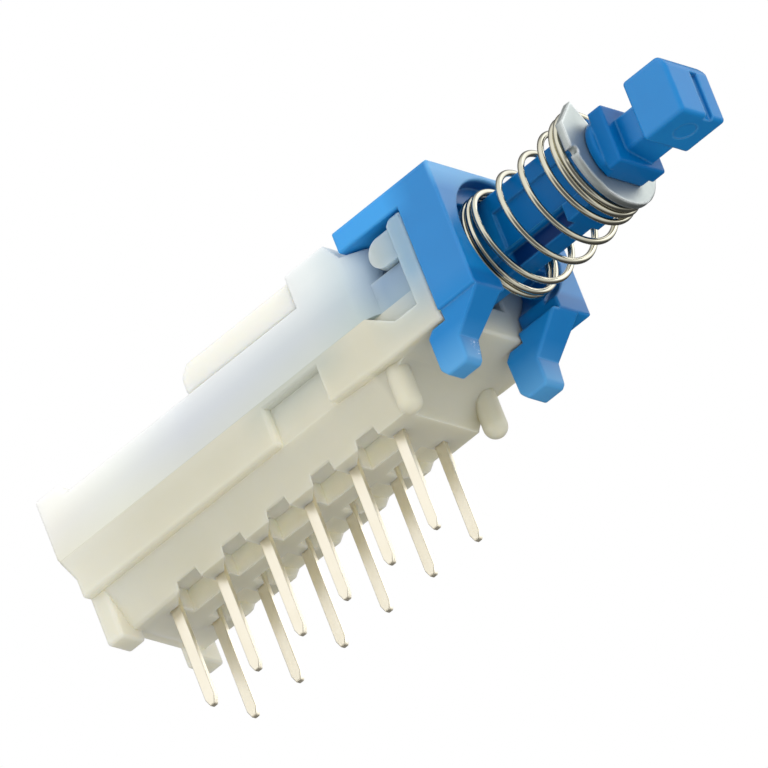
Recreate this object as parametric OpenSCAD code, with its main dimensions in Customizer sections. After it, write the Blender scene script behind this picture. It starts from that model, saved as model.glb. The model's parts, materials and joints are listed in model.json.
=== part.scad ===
// Latching push switch for a circuit board: two rows of terminals, a sprung plunger and a cam latch.
// X runs towards the plunger's end, Z runs up from the board, and the origin lies in the middle of
// the terminal grid on the face of the board.

/* [Terminals] */
// Distance from one terminal to the next along a row
pin_pitch = 2.5; // [2.3:0.05:2.6]
// Distance between the two rows of terminals
row_gap = 2.5; // [2.3:0.05:2.7]
// Width of a terminal along its row
pin_w = 0.5; // [0.4:0.05:0.6]
// Thickness of a terminal
pin_t = 0.25; // [0.15:0.01:0.3]
// Reach of a terminal below the face of the board
pin_reach = 4.0; // [2.5:0.1:6]

/* [Housing] */
// Width of the housing over its side panels
body_w = 7.0; // [6.8:0.1:8]
// Height of the seam between base and cover above the board
seam_z = 4.2; // [4.1:0.05:4.3]
// Height of the low part of the cover above the seam
cover_h = 2.45; // [2.35:0.05:2.8]
// Extra height of the cover's front part
front_rise = 1.45; // [1.2:0.05:1.8]
// Base past the last terminal at the rear
rear_margin = 2.45; // [2.2:0.05:4]
// Base past the last terminal at the front
front_margin = 5.1; // [4.9:0.05:6]
// Space between the board and the underside of the base
stand_off = 0.5; // [0.3:0.05:0.6]
// Thickness of the front plate
plate_t = 0.85; // [0.7:0.05:1]

/* [Bracket] */
// Thickness of the bracket in front of the plate
bracket_t = 2.05; // [1.8:0.05:2.6]
// Width of the bracket
bracket_w = 7.1; // [6.8:0.1:8]
// Thickness of the arm over the cover
arm_t = 0.95; // [0.8:0.05:1.3]
// Radius of the spring's seat in the bracket
seat_r = 2.8; // [2.5:0.05:2.9]
// Depth of the spring's seat
seat_depth = 0.6; // [0.4:0.05:1]

/* [Plunger] */
// Height of the plunger's axis above the board
axis_z = 5.2; // [5.1:0.05:5.3]
// Travel past the latched position
over_travel = 0.8; // [0.5:0.05:1]
// Width of the stem
stem_w = 1.84; // [1.6:0.02:1.9]
// Height of the stem
stem_h = 3.25; // [3:0.05:3.3]
// Width of the collar that holds the washer
collar_w = 2.74; // [2.4:0.02:2.9]
// Width of the head
head_w = 2.62; // [2.3:0.02:2.8]
// Height of the head
head_h = 2.75; // [2.4:0.05:2.9]
// Length of the head
head_len = 2.2; // [1.8:0.05:3]
// Length of the neck behind the head
neck_len = 1.15; // [0.9:0.05:2]

/* [Spring] */
// Outer diameter of the return spring
spring_d = 4.9; // [4.7:0.02:5.1]
// Diameter of the spring's wire
wire_d = 0.28; // [0.22:0.01:0.3]
// Length of the spring between bracket and washer
spring_len = 6.05; // [5.6:0.05:8]
// Turns that work
active_turns = 3.55; // [3:0.05:4]
// Turns that lie close at each end
closed_turns = 2.2; // [1.8:0.1:2.5]
// Thickness of the spring washer
washer_t = 0.35; // [0.3:0.05:0.6]
// Radius of the spring washer
washer_r = 2.45; // [2.4:0.05:2.7]

/* [Latch] */
// Length of the latch cap
cap_len = 6.2; // [6:0.05:6.6]
// Height of the latch cap
cap_h = 1.3; // [1.2:0.05:1.6]
// Diameter of the latch pin's wire
latch_d = 0.4; // [0.3:0.02:0.44]
// Distance from the cap's rear wall to the latch pin's follower
follower_inset = 0.6; // [0.5:0.05:0.8]
// Sideways path of the latch pin over the whole travel
latch_side = 1.0; // [0.8:0.05:1.1]

/* [Hidden] */
$fn = 48;
pins_per_row = 6;
pole_count = 2;

// Colours
natural_nylon = "#E9E6D2";
cover_nylon = "#E4E9EC";
blue_acetal = "#2E7FC9";
plated_brass = "#D9CFA8";
spring_steel = "#A9A49A";
zinc_steel = "#A3ADB2";
contact_bronze = "#C79A5B";

// Shared fits and the overrun of every cut
overrun = 1;
slide_gap = 0.1;
seat_gap = 0.05;
press_gap = 0.01;

// Terminals
half_row = (pins_per_row - 1) / 2 * pin_pitch;
row_y = row_gap / 2;
tip_len = 0.35;
tip_share = 0.45;
floor_t = 1.4;
blade_h = 1.8;
floor_z = stand_off + floor_t;
blade_z = floor_z + blade_h;
travel = pin_pitch + over_travel;

// Base
wall_step = 0.43;
taper_in = 0.87;
panel_drop = 2.0;
under_drop = 2.15;
rear_wall_t = 0.6;
flare_len = 0.44;
flare_drop = 1.1;
rear_panel_len = 10.95;
front_panel_len = 6.2;
rail_h = 0.3;
shoulder_drop = 0.9;
shoulder_len = 2.05;
shoulder_slope = 1.2;
under_len = 2.3;
panel_step_len = 2.85;
peg_front = 3.3;
foot_t = 0.85;
foot_w = 1.37;
arch_z = 0.92;
peg_r = 0.5;
plate_rise = 0.55;
plate_bevel = 0.25;
half_w = body_w / 2;
wall_y = half_w - wall_step;
keel_y = wall_y - taper_in;
panel_z = seam_z - panel_drop;
under_z = seam_z - under_drop;
base_rear_x = -half_row - rear_margin;
plate_front_x = half_row + front_margin;
plate_rear_x = plate_front_x - plate_t;
front_round_r = under_z - stand_off;
round_front_x = plate_front_x - under_len;
cavity_rear_x = base_rear_x + rear_wall_t;

// Pockets between the terminals, open to the side of the base
rib_back = 0.35;
pocket_h = 1.0;
pocket_run = 1.37;
pocket_in = 0.45;

// Cover
cover_over = 0.5;
cover_cut_len = 0.06;
cover_cut_h = 0.2;
lip_len = 1.3;
lip_h = 0.5;
lip_slope = 0.2;
roof_t = 0.6;
nose_gap = 1.35;
nose_len = 1.65;
nose_r = 1.6;
tall_len = 2.2;
tall_slope = 0.5;
cover_z = seam_z + cover_h;
tall_z = cover_z + front_rise;
plate_z = cover_z + plate_rise;
cover_rear_x = base_rear_x - cover_over;
nose_front_x = plate_rear_x - nose_gap;
tall_front_x = nose_front_x - nose_len;
tall_rear_x = tall_front_x - tall_len;

// Lugs on the plate that hold the cover's front down
lug_len = 1.3;
lug_h = 1.3;
lug_up = 1.4;
lug_inset = 0.12;
lug_z = seam_z + lug_up;

// Bracket
arm_len = 3.25;
bracket_drop = 1.8;
bracket_slot_w = 3.3;
hole_step = 0.18;
ledge_drop = 0.6;
hook_roots = [[0.15, 1.7], [2.3, 0.75]];
hook_tips = [[0.42, 1.37], [1.9, 0.75]];
hook_len = 3.17;
hook_shares = [[0, 1], [0.536, 0.458], [0.568, 0.07], [0.62, 0], [0.92, 0], [1, 0.146], [0.97, 0.73]];
hook_top_share = 0.86;
arm_z = plate_z + slide_gap;
bracket_z = seam_z - bracket_drop;
bracket_top_z = arm_z + arm_t;
bracket_front_x = plate_front_x + bracket_t;
seat_x = bracket_front_x - seat_depth;
arm_rear_x = plate_front_x - arm_len;
hook_top_z = under_z - seat_gap;

// Slider inside the housing
slider_w = 4.8;
slider_lift = 0.7;
lane_gap = 0.15;
slider_y = slider_w / 2;
cavity_y = slider_y + slide_gap;
slider_z = floor_z + slider_lift;
slider_top_z = cover_z - roof_t - slide_gap;
slider_front_x = plate_rear_x - seat_gap;
slider_rear_x = cavity_rear_x + travel + slide_gap;
lane_z = blade_z + lane_gap;
lane_front_x = half_row + pin_w / 2 + travel + slide_gap;
deep_front_x = half_row + pin_w / 2 + slide_gap;

// Contact clips in the slider
clip_t = 0.15;
contact_gap = 0.04;
clip_seat = 0.4;
clip_lap = 0.4;
clip_lift = 0.4;
flare_y = 0.1;
flare_h = 0.3;
clip_in_y = pin_t / 2 + contact_gap;
clip_out_y = clip_in_y + clip_t;
clip_len = pin_pitch + pin_w + clip_lap;
clip_z = floor_z + clip_lift;
clip_top_z = lane_z + clip_seat;
clip_places = [-pin_pitch, 2 * pin_pitch];
lane_y = clip_out_y + flare_y + seat_gap;

// Stem, collar, neck and head
stem_root = 0.3;
groove_d = 0.1;
throat_in = 0.1;
keel_h = 0.75;
keel_in = 0.4;
keel_len = 6.3;
flat_in = 0.12;
flat_h = 1.7;
flat_gap = 0.9;
flange_t = 0.4;
flange_r = 1.6;
collar_t = 0.7;
collar_below = 1.2;
collar_above = 1.42;
neck_w = 1.46;
neck_near = 0.6;
neck_far = 0.95;
neck_above = 0.8;
head_below = 1.05;
head_side = 0.14;
head_bevel_x = 0.3;
head_bevel_z = 0.45;
head_round_r = 0.5;
slot_w = 0.42;
slot_d = 0.22;
slot_y = 0.27;
slot_end = 0.15;
mark_r = 0.5;
mark_d = 0.04;
stem_y = stem_w / 2;
stem_z = axis_z - stem_h / 2;
stem_top_z = axis_z + stem_h / 2;
stem_rear_x = slider_front_x - stem_root;
washer_x = seat_x + spring_len;
flange_x = washer_x + washer_t;
collar_x = flange_x + flange_t;
neck_x = collar_x + collar_t;
head_x = neck_x + neck_len;
head_front_x = head_x + head_len;
head_z = axis_z - head_below;

// Spring washer
washer_lift = 0.25;
flat_low_share = -0.15;
shoulder_shares = [1.07, 0.343];
ear_shares = [0.612, 0.845];
mouth_shares = [0.43, 0.592];
throat_share = 0.45;
notch_r = 0.16;
notch_turn = 190;
washer_z = axis_z + washer_lift;
throat_y = stem_y - groove_d + press_gap;
throat_z = axis_z - collar_below + throat_in;

// Return spring
wire_sides = 8;
turn_steps = 20;
close_share = 1.03;
pitch_share = 0.16;
start_turn = 30;
sag_gap = 0.15;
coil_r = (spring_d - wire_d) / 2;
close_pitch = wire_d * close_share;
turns = active_turns + 2 * closed_turns;
coil_len = spring_len - wire_d - 2 * seat_gap;
open_pitch = (coil_len - 2 * closed_turns * close_pitch) / active_turns;
coil_sag = seat_r - spring_d / 2 - sag_gap;
coil_rise = sqrt(pow(spring_d / 2 - wire_d, 2) - pow(stem_y, 2)) - stem_h / 2 - seat_gap;

// Latch
cap_inset = 0.15;
cap_wall_t = 0.6;
cap_roof_t = 0.4;
cap_bevel = 0.45;
pivot_inset = 0.4;
pivot_gap = 0.04;
swing_gap = 0.25;
cam_depth = 0.8;
cam_gap = 0.08;
notch_share = 0.15;
leaf_t = 0.12;
leaf_w = 1.0;
leaf_flat_share = 0.35;
cap_y = half_w - cap_inset;
cap_rear_x = tall_rear_x - cap_len;
cap_z = cover_z + cap_h;
cap_room_z = cap_z - cap_roof_t;
cap_room_y = latch_side + latch_d / 2 + swing_gap;
pivot_x = tall_rear_x - cap_wall_t - pivot_inset;
follower_x = cap_rear_x + cap_wall_t + follower_inset;
latch_arm = pivot_x - follower_x;
latch_r = latch_d / 2;
latch_z = cover_z + latch_r + seat_gap;
latch_turn = asin(latch_side / latch_arm);
arc_shift = latch_arm * (1 - cos(latch_turn));
cam_z = slider_top_z - cam_depth;
cam_start = [follower_x, 0];
cam_push = [follower_x + travel + arc_shift, -latch_side];
cam_hold = [follower_x + pin_pitch + arc_shift / 2, -latch_side * notch_share];
cam_back = [follower_x + travel, latch_side];

// Outline in Y and Z, drawn from x0 to x1
module along_x(x0, x1) {
    translate([x0, 0, 0]) rotate([90, 0, 90]) linear_extrude(x1 - x0) children();
}

// Outline in X and Z, drawn from y0 to y1
module across_y(y0, y1) {
    translate([0, y1, 0]) rotate([90, 0, 0]) linear_extrude(y1 - y0) children();
}

// Block that is the same on both sides of the middle
module block(x0, x1, half, z0, z1) {
    translate([x0, -half, z0]) cube([x1 - x0, 2 * half, z1 - z0]);
}

// Block from y0 to y1 on both sides of the middle
module pair(x0, x1, y0, y1, z0, z1) {
    both() translate([x0, y0, z0]) cube([x1 - x0, y1 - y0, z1 - z0]);
}

module both() {
    children();
    mirror([0, 1, 0]) children();
}

// Every terminal's place, in the order of the node names
function pin_x(i) = -half_row + (i % pins_per_row) * pin_pitch;
function pin_y(i) = i < pins_per_row ? -row_y : row_y;

// Tapered lower walls, with the underside rounded up to a raised front
module base_walls() {
    intersection() {
        along_x(base_rear_x, plate_front_x) polygon([
            [-keel_y, stand_off], [keel_y, stand_off], [wall_y, panel_z],
            [wall_y, seam_z], [-wall_y, seam_z], [-wall_y, panel_z]]);
        across_y(-half_w, half_w) difference() {
            translate([base_rear_x, stand_off])
                square([plate_front_x - base_rear_x, seam_z - stand_off]);
            translate([round_front_x, stand_off]) circle(r = front_round_r);
            translate([round_front_x, stand_off - overrun])
                square([under_len + overrun, front_round_r + overrun]);
        }
    }
}

// Raised panels on the sides, level with the cover, with a rail between them
module base_panels() {
    rail_z = seam_z - rail_h;
    rear_end = base_rear_x + rear_panel_len;
    front_end = plate_front_x - front_panel_len;
    across_y(-half_w, half_w) polygon([
        [base_rear_x - flare_len, seam_z], [base_rear_x, seam_z - flare_drop], [base_rear_x, panel_z],
        [rear_end, panel_z], [rear_end, rail_z], [front_end, rail_z], [front_end, panel_z],
        [plate_front_x - panel_step_len, under_z], [plate_front_x, under_z],
        [plate_front_x, seam_z - shoulder_drop],
        [plate_front_x - shoulder_len, seam_z - shoulder_drop],
        [plate_front_x - shoulder_len - shoulder_slope, seam_z]]);
}

// Upright plate at the front, with a lug on each side that reaches back over the cover
module front_plate() {
    across_y(-half_w, half_w) polygon([
        [plate_rear_x, under_z], [plate_front_x, under_z], [plate_front_x, plate_z],
        [plate_rear_x + plate_bevel, plate_z], [plate_rear_x, plate_z - plate_bevel]]);
    both() across_y(cavity_y, half_w - lug_inset) {
        translate([plate_rear_x - lug_len + lug_h / 2, lug_z]) square([lug_len, lug_h]);
        translate([plate_rear_x - lug_len + lug_h / 2, lug_z + lug_h / 2]) circle(d = lug_h);
    }
}

// Rear feet and the round standoffs at the front
module base_feet() {
    pair(base_rear_x, base_rear_x + foot_t, wall_y - foot_w, wall_y, 0, panel_z);
    block(base_rear_x, base_rear_x + foot_t, wall_y, arch_z, panel_z);
    both() translate([plate_front_x - peg_front, wall_y - peg_r, peg_r]) {
        cylinder(r = peg_r, h = panel_z - peg_r);
        sphere(r = peg_r);
    }
}

// Space for the slider, deep under the contacts and shallow at the front
module base_room() {
    block(cavity_rear_x, deep_front_x, cavity_y, floor_z, seam_z + overrun);
    block(cavity_rear_x, plate_rear_x, cavity_y, slider_z - slide_gap, seam_z + overrun);
    block(plate_rear_x - overrun, plate_front_x + overrun, stem_y + slide_gap,
        stem_z - slide_gap, plate_z + overrun);
}

// Pocket in front of one terminal, wider to the next one's rib, with a ceiling that falls outwards
module underside_pocket() {
    front = pin_pitch - rib_back;
    tooth_y = row_y + pin_t / 2;
    intersection() {
        translate([0, 0, -overrun]) linear_extrude(2 * overrun + pocket_h) polygon([
            [pin_w / 2, pocket_in], [pin_w / 2, tooth_y],
            [front, tooth_y + front - pin_w / 2], [front, pocket_in]]);
        along_x(0, pin_pitch) polygon([
            [0, -overrun], [tooth_y + pocket_run, -overrun], [tooth_y + pocket_run, 0],
            [tooth_y, pocket_h], [0, pocket_h]]);
    }
}

// Space between the rear feet
module rear_arch() {
    block(base_rear_x - overrun, base_rear_x + foot_t, wall_y - foot_w, -overrun, arch_z);
}

module base_housing() {
    color(natural_nylon) difference() {
        union() {
            base_walls();
            base_panels();
            front_plate();
            base_feet();
        }
        base_room();
        rear_arch();
        for (i = [0:2 * pins_per_row - 1]) {
            translate([pin_x(i), pin_y(i), 0])
                block(-pin_w / 2 - press_gap, pin_w / 2 + press_gap, pin_t / 2 + press_gap,
                    0, floor_z + overrun);
        }
        for (i = [0:pins_per_row - 2]) {
            both() translate([pin_x(i), 0, stand_off]) underside_pocket();
        }
    }
}

// Side view of the cover
module cover_side() {
    polygon([
        [cover_rear_x + cover_cut_len, seam_z], [cover_rear_x, seam_z + cover_cut_h],
        [cover_rear_x, cover_z + lip_h], [cover_rear_x + lip_len, cover_z + lip_h],
        [cover_rear_x + lip_len + lip_slope, cover_z], [tall_rear_x, cover_z],
        [tall_rear_x, tall_z], [tall_front_x, tall_z], [tall_front_x + tall_slope, plate_z],
        [nose_front_x, plate_z], [nose_front_x, seam_z]]);
}

// Top view of the cover, with round front corners
module cover_plan() {
    translate([cover_rear_x, -half_w]) square([nose_front_x - nose_r - cover_rear_x, body_w]);
    translate([cover_rear_x, nose_r - half_w])
        square([nose_front_x - cover_rear_x, body_w - 2 * nose_r]);
    for (side = [-1, 1]) {
        translate([nose_front_x - nose_r, side * (half_w - nose_r)]) circle(r = nose_r);
    }
}

module top_cover() {
    color(cover_nylon) difference() {
        union() {
            intersection() {
                across_y(-half_w, half_w) cover_side();
                linear_extrude(tall_z) cover_plan();
            }
            pair(nose_front_x - nose_r, plate_rear_x - seat_gap, cavity_y, wall_y,
                seam_z, lug_z - seat_gap);
        }
        block(cavity_rear_x, plate_rear_x, cavity_y, seam_z - overrun, slider_top_z + slide_gap);
        block(stem_rear_x - travel - slide_gap, plate_rear_x, stem_y + slide_gap,
            seam_z, stem_top_z + slide_gap);
        block(follower_x - latch_r - swing_gap, follower_x + latch_r + swing_gap, cap_room_y,
            seam_z, cover_z + overrun);
        translate([pivot_x, 0, slider_top_z]) cylinder(r = latch_r + pivot_gap, h = cover_h);
    }
}

module latch_cap() {
    color(natural_nylon) difference() {
        across_y(-cap_y, cap_y) polygon([
            [cap_rear_x, cover_z], [cap_rear_x, cap_z - cap_bevel], [cap_rear_x + cap_bevel, cap_z],
            [tall_rear_x, cap_z], [tall_rear_x, cover_z]]);
        block(cap_rear_x + cap_wall_t, tall_rear_x - cap_wall_t, cap_room_y,
            cover_z - overrun, cap_room_z);
    }
}

// Bent wire with one leg in the cover and the other in the cam track
module latch_pin() {
    pivot_low = slider_top_z + slide_gap + seat_gap;
    follower_low = cam_z + seat_gap;
    color(spring_steel) {
        translate([pivot_x, 0, pivot_low]) cylinder(r = latch_r, h = latch_z - pivot_low);
        translate([follower_x, 0, follower_low]) cylinder(r = latch_r, h = latch_z - follower_low);
        translate([follower_x, 0, latch_z]) rotate([0, 90, 0]) cylinder(r = latch_r, h = latch_arm);
        translate([pivot_x, 0, latch_z]) sphere(r = latch_r);
        translate([follower_x, 0, latch_z]) sphere(r = latch_r);
    }
}

// Bent leaf between the cap and the wire
module latch_spring() {
    low = latch_z + latch_r + press_gap;
    high = cap_room_z - leaf_t;
    rear = cap_rear_x + cap_wall_t;
    len = cap_len - 2 * cap_wall_t;
    knee = len * (1 - leaf_flat_share) / 2;
    color(contact_bronze) across_y(-leaf_w / 2, leaf_w / 2) polygon([
        [rear, high], [rear + knee, low], [rear + len - knee, low], [rear + len, high],
        [rear + len, high + leaf_t], [rear + len - knee, low + leaf_t],
        [rear + knee, low + leaf_t], [rear, high + leaf_t]]);
}

// Hook below the bracket, outline in X and Z
module hook_outline() {
    polygon(concat(
        [for (s = hook_shares) [bracket_front_x - s[0] * hook_len, s[1] * bracket_z]],
        [[bracket_front_x - hook_top_share * hook_len, hook_top_z], [plate_front_x, hook_top_z],
         [plate_front_x, bracket_z]]));
}

// Hook whose sides lean from its root to its tip
module hook(root, tip) {
    intersection() {
        across_y(root[0] - overrun, root[1] + overrun) hook_outline();
        along_x(bracket_front_x - hook_len, bracket_front_x) polygon([
            [tip[0], 0], [tip[1], 0], [root[1], bracket_z], [root[0], bracket_z]]);
    }
}

// Front frame with the spring's seat, whose ledge is left out below
module front_bracket() {
    half = bracket_w / 2;
    color(blue_acetal) difference() {
        union() {
            block(plate_front_x, bracket_front_x, half, bracket_z, bracket_top_z);
            block(arm_rear_x, bracket_front_x, half, arm_z, bracket_top_z);
            hook([for (in = hook_roots[0]) in - half], [for (in = hook_tips[0]) in - half]);
            hook([for (in = hook_roots[1]) half - in], [for (in = hook_tips[1]) half - in]);
        }
        block(plate_front_x - overrun, bracket_front_x + overrun, bracket_slot_w / 2,
            bracket_z, stem_top_z + slide_gap);
        translate([seat_x, 0, axis_z]) rotate([0, 90, 0]) cylinder(r = seat_r, h = bracket_t);
        intersection() {
            translate([plate_front_x - overrun, 0, axis_z]) rotate([0, 90, 0])
                cylinder(r = seat_r - hole_step, h = bracket_t + overrun);
            block(plate_front_x - overrun, bracket_front_x, half, bracket_z, axis_z - ledge_drop);
        }
    }
}

// Part of the cam track between two points, on the slider's top
module cam_lane(from, to) {
    run = to - from;
    lane_r = latch_r + cam_gap;
    translate([from[0], from[1], cam_z]) {
        rotate([0, 0, atan2(run[1], run[0])]) translate([0, -lane_r, 0])
            cube([norm(run), 2 * lane_r, cam_depth + overrun]);
        cylinder(r = lane_r, h = cam_depth + overrun);
    }
}

// Heart-shaped track: in along one side, back to the notch, and out along the other side
module cam_track() {
    corners = [cam_start, cam_push, cam_hold, cam_back];
    for (i = [0:len(corners) - 1]) {
        cam_lane(corners[i], corners[(i + 1) % len(corners)]);
    }
}

// Slider that carries the contact clips and the cam track
module slider() {
    difference() {
        block(slider_rear_x, slider_front_x, slider_y, slider_z, slider_top_z);
        for (side = [-1, 1]) {
            translate([0, side * row_y, 0]) {
                block(slider_rear_x - overrun, lane_front_x, lane_y, slider_z - overrun, lane_z);
                for (x = clip_places) {
                    block(x - clip_len / 2 - press_gap, x + clip_len / 2 + press_gap,
                        clip_out_y + press_gap, slider_z, clip_top_z);
                }
            }
        }
        cam_track();
    }
}

// Stem with a keel below, flats on its sides and a groove for the washer
module stem() {
    flat_rear_x = seat_x + flat_gap;
    flat_front_x = washer_x - flat_gap;
    difference() {
        block(stem_rear_x, flange_x, stem_y, stem_z, stem_top_z);
        pair(slider_front_x, slider_front_x + keel_len, stem_y - keel_in, stem_y + overrun,
            stem_z - overrun, stem_z + keel_h);
        pair(flat_rear_x, flat_front_x, stem_y - flat_in, stem_y + overrun,
            axis_z - flat_h / 2, axis_z + flat_h / 2);
        pair(washer_x - press_gap, flange_x + overrun, stem_y - groove_d, stem_y + overrun,
            stem_z - overrun, stem_top_z + overrun);
        block(washer_x - press_gap, flange_x + overrun, stem_w, stem_z - overrun, throat_z);
    }
}

// Top view of the head, with one round corner at its end
module head_plan() {
    left = head_side + head_w / 2;
    translate([head_x, head_side - head_w / 2]) square([head_len - head_round_r, head_w]);
    translate([head_x, head_side - head_w / 2]) square([head_len, head_w - head_round_r]);
    translate([head_front_x - head_round_r, left - head_round_r]) circle(r = head_round_r);
}

// Head that a knob pushes onto, with a slot in its end
module head() {
    shoulder_z = head_z + head_h - head_bevel_z;
    difference() {
        intersection() {
            across_y(head_side - head_w, head_side + head_w) polygon([
                [head_x, head_z], [head_front_x, head_z], [head_front_x, shoulder_z],
                [head_front_x - head_bevel_x, head_z + head_h], [head_x, head_z + head_h]]);
            linear_extrude(head_z + head_h) head_plan();
        }
        translate([head_front_x - slot_d, slot_y, head_z - overrun])
            cube([slot_d + overrun, slot_w, shoulder_z - slot_end - head_z + overrun]);
        translate([head_x + head_len / 2, head_side, head_z - overrun])
            cylinder(r = mark_r, h = overrun + mark_d);
    }
}

// Round flange that the washer bears on, cut level with the square collar in front of it
module collar() {
    low = axis_z - collar_below;
    high = axis_z + collar_above;
    intersection() {
        translate([flange_x, 0, axis_z]) rotate([0, 90, 0]) cylinder(r = flange_r, h = flange_t);
        block(washer_x, neck_x, washer_r, low, high);
    }
    block(collar_x, neck_x, collar_w / 2, low, high);
}

// Neck, deeper on its far side
module neck() {
    half = neck_w / 2;
    along_x(neck_x, head_x) polygon([
        [-half, axis_z + neck_above], [-half, axis_z - neck_near],
        [half, axis_z - neck_far], [half, axis_z + neck_above]]);
}

module plunger() {
    color(blue_acetal) {
        slider();
        stem();
        collar();
        neck();
        head();
    }
}

// Open washer that is pushed on from below, with an ear on each side of its mouth
module spring_washer() {
    shoulder = washer_r * shoulder_shares;
    ear = washer_r * ear_shares;
    mouth = washer_r * mouth_shares;
    peak = 2 * ear - shoulder;
    past_ear = 2 * ear - mouth;
    flat_low = washer_r * flat_low_share;
    low = throat_z - washer_z - press_gap;
    color(zinc_steel) translate([0, 0, washer_z]) along_x(washer_x, flange_x) difference() {
        union() {
            circle(r = washer_r);
            polygon([
                [shoulder[0], flat_low], shoulder, peak, [-peak[0], peak[1]],
                [-shoulder[0], shoulder[1]], [-shoulder[0], flat_low]]);
        }
        polygon([
            [throat_y, low], [throat_y, washer_r * throat_share], mouth, past_ear,
            [past_ear[0], washer_r + overrun], [-past_ear[0], washer_r + overrun],
            [-past_ear[0], past_ear[1]], [-mouth[0], mouth[1]],
            [-throat_y, washer_r * throat_share], [-throat_y, low]]);
        for (turn = [notch_turn, 180 - notch_turn]) {
            rotate(turn) translate([washer_r, 0]) circle(r = notch_r);
        }
    }
}

// Length of the spring's first t turns: close, then open with a falling pitch, then close again
function coil_run(t) =
    let (open = min(max(t - closed_turns, 0), active_turns))
    close_pitch * (min(t, closed_turns) + max(0, t - closed_turns - active_turns))
    + open_pitch * open * (1 + pitch_share * (1 - open / active_turns));
// Point on the wire after t turns; the spring hangs in its seat and is lifted by the washer
function coil_point(t, side) =
    let (r = coil_r + wire_d / 2 * cos(side), a = start_turn - 360 * t, run = coil_run(t))
    [seat_x + seat_gap + wire_d / 2 + run + wire_d / 2 * sin(side), r * sin(a),
     axis_z - coil_sag + (coil_sag + coil_rise) * pow(run / coil_len, 3) + r * cos(a)];

module return_spring() {
    rings = round(turns * turn_steps);
    last = rings * wire_sides;
    points = [for (i = [0:rings], k = [0:wire_sides - 1])
        coil_point(i / rings * turns, 360 * k / wire_sides)];
    walls = [for (i = [0:rings - 1], k = [0:wire_sides - 1])
        let (a = i * wire_sides, b = a + wire_sides, n = (k + 1) % wire_sides)
        [a + k, b + k, b + n, a + n]];
    start_cap = [[for (k = [0:wire_sides - 1]) k]];
    end_cap = [[for (k = [wire_sides - 1:-1:0]) last + k]];
    color(spring_steel) polyhedron(points, concat(walls, start_cap, end_cap));
}

// Flat terminal with a pointed tip below the board and a contact blade inside
module terminal(i) {
    tip = pin_w * tip_share / 2;
    half = pin_w / 2;
    color(plated_brass) translate([pin_x(i), pin_y(i), 0]) across_y(-pin_t / 2, pin_t / 2) polygon([
        [-half, blade_z], [-half, tip_len - pin_reach], [-tip, -pin_reach],
        [tip, -pin_reach], [half, tip_len - pin_reach], [half, blade_z]]);
}

// Sprung clip that grips two neighbouring blades, with a flared mouth
module contact_clip(i) {
    mouth_z = clip_z + flare_h;
    right = [
        [clip_in_y, clip_top_z - clip_t], [clip_in_y, mouth_z], [clip_in_y + flare_y, clip_z],
        [clip_out_y + flare_y, clip_z], [clip_out_y, mouth_z], [clip_out_y, clip_top_z]];
    left = [for (k = [len(right) - 1:-1:0]) [-right[k][0], right[k][1]]];
    side = i < pole_count ? -row_y : row_y;
    middle = clip_places[i % pole_count];
    color(contact_bronze) translate([0, side, 0])
        along_x(middle - clip_len / 2, middle + clip_len / 2) polygon(concat(right, left));
}

base_housing();
top_cover();
latch_cap();
latch_pin();
latch_spring();
front_bracket();
plunger();
spring_washer();
return_spring();
for (i = [0:2 * pins_per_row - 1]) {
    terminal(i);
}
for (i = [0:2 * pole_count - 1]) {
    contact_clip(i);
}
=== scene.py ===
"""Looks of a latching push switch: each solid of the frame gets rounded edges and its own material."""
import json
import math

import bmesh
import bpy
from mathutils import Matrix, Vector
from mathutils.geometry import intersect_point_line


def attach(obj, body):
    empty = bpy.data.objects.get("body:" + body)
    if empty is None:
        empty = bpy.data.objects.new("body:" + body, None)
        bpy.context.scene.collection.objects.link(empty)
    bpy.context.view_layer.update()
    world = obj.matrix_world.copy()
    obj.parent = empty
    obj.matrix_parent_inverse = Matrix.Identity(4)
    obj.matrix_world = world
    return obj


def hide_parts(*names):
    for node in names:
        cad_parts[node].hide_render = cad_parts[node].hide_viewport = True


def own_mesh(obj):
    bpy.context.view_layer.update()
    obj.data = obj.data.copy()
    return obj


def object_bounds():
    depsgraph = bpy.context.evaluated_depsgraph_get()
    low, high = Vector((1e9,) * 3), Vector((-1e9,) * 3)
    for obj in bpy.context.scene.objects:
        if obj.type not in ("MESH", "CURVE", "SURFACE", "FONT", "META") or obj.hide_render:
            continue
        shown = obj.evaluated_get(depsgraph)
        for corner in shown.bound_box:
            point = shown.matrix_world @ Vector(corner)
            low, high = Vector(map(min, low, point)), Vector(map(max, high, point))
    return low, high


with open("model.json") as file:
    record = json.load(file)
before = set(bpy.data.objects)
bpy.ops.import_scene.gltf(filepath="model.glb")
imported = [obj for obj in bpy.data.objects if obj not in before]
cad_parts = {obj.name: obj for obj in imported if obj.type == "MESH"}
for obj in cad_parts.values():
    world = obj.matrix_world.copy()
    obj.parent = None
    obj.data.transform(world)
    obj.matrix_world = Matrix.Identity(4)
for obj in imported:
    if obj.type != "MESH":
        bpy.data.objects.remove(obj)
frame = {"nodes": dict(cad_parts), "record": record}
cad_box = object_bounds()
scene = bpy.context.scene

MM = 0.001

# Camera: azimuth, elevation and roll in degrees, the aim and the width of the picture in millimetres
VIEW_AZIMUTH = 32.11
VIEW_ELEVATION = -29.02
VIEW_ROLL = -21.59
AIM_RIGHT = 2.745
AIM_UP = 6.025
AIM_DEPTH = 1.4
PICTURE_WIDTH = 29.83
LENS = 1500
SENSOR = 36
CLIP_NEAR = 0.001
CLIP_FAR = 100

# Floor in millimetres
FLOOR_SIZE = 600
FLOOR_GAP = 0.02

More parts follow.
